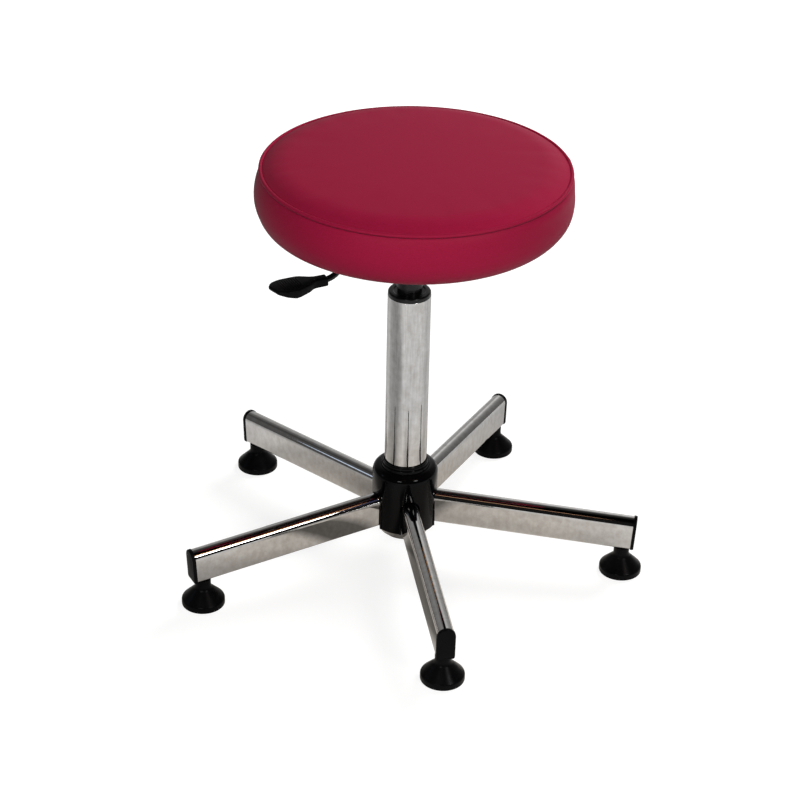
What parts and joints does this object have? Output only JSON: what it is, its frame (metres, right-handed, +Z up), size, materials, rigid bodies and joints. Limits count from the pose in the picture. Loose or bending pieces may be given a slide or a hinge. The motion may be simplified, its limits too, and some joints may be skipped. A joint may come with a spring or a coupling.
{
  "type": "swivel stool",
  "caption": "Round padded swivel stool: gas-sprung seat with a lift lever, chrome column and star base of chrome tube arms on round glides.",
  "frame": {"origin": "where the column axis meets the floor, at the centre of the circle of glide pads", "axes": "+Z up along the column; the first arm points along -Y, the others follow at 72 degrees"},
  "size_m": [0.5514, 0.5268, 0.513],
  "materials": {
    "chrome": "polished chrome plate on steel",
    "black_moulding": "glossy injection-moulded plastic",
    "black_grip": "satin moulded plastic",
    "black_nylon": "moulded nylon",
    "black_enamel": "glossy black enamel on steel",
    "steel": "turned steel",
    "zinc_steel": "zinc-plated steel",
    "light_alloy": "turned aluminium",
    "black_rubber": "moulded rubber",
    "raspberry_vinyl": "grained vinyl",
    "foam": "cut polyurethane foam",
    "lining": "spun-bonded lining",
    "plywood": "sanded birch plywood"
  },
  "bodies": {
    "base": {"arm_1": "chrome", "arm_end_cap_1": "black_moulding", "glide_socket_1": "black_nylon", "arm_2": "chrome", "arm_end_cap_2": "black_moulding", "glide_socket_2": "black_nylon", "arm_3": "chrome", "arm_end_cap_3": "black_moulding", "glide_socket_3": "black_nylon", "arm_4": "chrome", "arm_end_cap_4": "black_moulding", "glide_socket_4": "black_nylon", "arm_5": "chrome", "arm_end_cap_5": "black_moulding", "glide_socket_5": "black_nylon", "hub_sleeve": "steel", "hub_cover": "black_moulding", "column_tube": "chrome", "guide_bush": "black_moulding", "bearing_race_lower": "steel", "bearing_balls": "steel"},
    "spindle": {"piston_rod": "steel", "piston": "light_alloy", "piston_seal": "black_rubber", "bump_stop": "black_rubber", "clip_washer": "steel", "retaining_clip": "steel", "bearing_race_upper": "steel"},
    "seat": {"gas_cylinder": "black_enamel", "rod_guide": "light_alloy", "valve_body": "light_alloy", "cone_socket": "black_enamel", "lever_housing": "black_enamel", "pivot_pin": "zinc_steel", "seat_plate": "black_enamel", "plate_screws": "zinc_steel", "tee_nuts": "zinc_steel", "seat_board": "plywood", "underside_cloth": "lining", "seat_foam": "foam", "seat_cover_side": "raspberry_vinyl", "seat_cover_top": "raspberry_vinyl", "seat_piping": "raspberry_vinyl", "staples": "zinc_steel"},
    "lever": {"lever_rocker": "black_nylon", "lever_rod": "black_enamel", "lever_paddle": "black_grip"},
    "pin": {"release_pin": "steel"},
    "glide_1": {"glide_pad_1": "black_moulding", "glide_stem_1": "zinc_steel"},
    "glide_2": {"glide_pad_2": "black_moulding", "glide_stem_2": "zinc_steel"},
    "glide_3": {"glide_pad_3": "black_moulding", "glide_stem_3": "zinc_steel"},
    "glide_4": {"glide_pad_4": "black_moulding", "glide_stem_4": "zinc_steel"},
    "glide_5": {"glide_pad_5": "black_moulding", "glide_stem_5": "zinc_steel"}
  },
  "joints": [
    {"name": "seat_swivel", "type": "hinge", "parent": "base", "child": "spindle", "pos_m": [0, 0, 0], "axis": [0, 0, 1], "continuous": true},
    {"name": "seat_height", "type": "slide", "parent": "spindle", "child": "seat", "axis": [0, 0, 1], "range_m": [0, 0.19]},
    {"name": "lever_lift", "type": "hinge", "parent": "seat", "child": "lever", "pos_m": [-0.02692, -0.00772, 0.4125], "axis": [-0.2756, 0.9613, 0], "range_deg": [0, 5.4], "stiffness_Nm_per_rad": 2, "springref_deg": -14.32},
    {"name": "pin_press", "type": "slide", "parent": "seat", "child": "pin", "axis": [0, 0, -1], "range_m": [0, 0.0028]},
    {"name": "glide_swivel_1", "type": "hinge", "parent": "base", "child": "glide_1", "pos_m": [0, -0.2636, 0], "axis": [0, 0, 1], "continuous": true},
    {"name": "glide_swivel_2", "type": "hinge", "parent": "base", "child": "glide_2", "pos_m": [0.2507, -0.08146, 0], "axis": [0, 0, 1], "continuous": true},
    {"name": "glide_swivel_3", "type": "hinge", "parent": "base", "child": "glide_3", "pos_m": [0.15494, 0.21326, 0], "axis": [0, 0, 1], "continuous": true},
    {"name": "glide_swivel_4", "type": "hinge", "parent": "base", "child": "glide_4", "pos_m": [-0.15494, 0.21326, 0], "axis": [0, 0, 1], "continuous": true},
    {"name": "glide_swivel_5", "type": "hinge", "parent": "base", "child": "glide_5", "pos_m": [-0.2507, -0.08146, 0], "axis": [0, 0, 1], "continuous": true}
  ],
  "couplings": [
    {"joint": "pin_press", "follows": "lever_lift", "m_per_rad": 0.028}
  ]
}
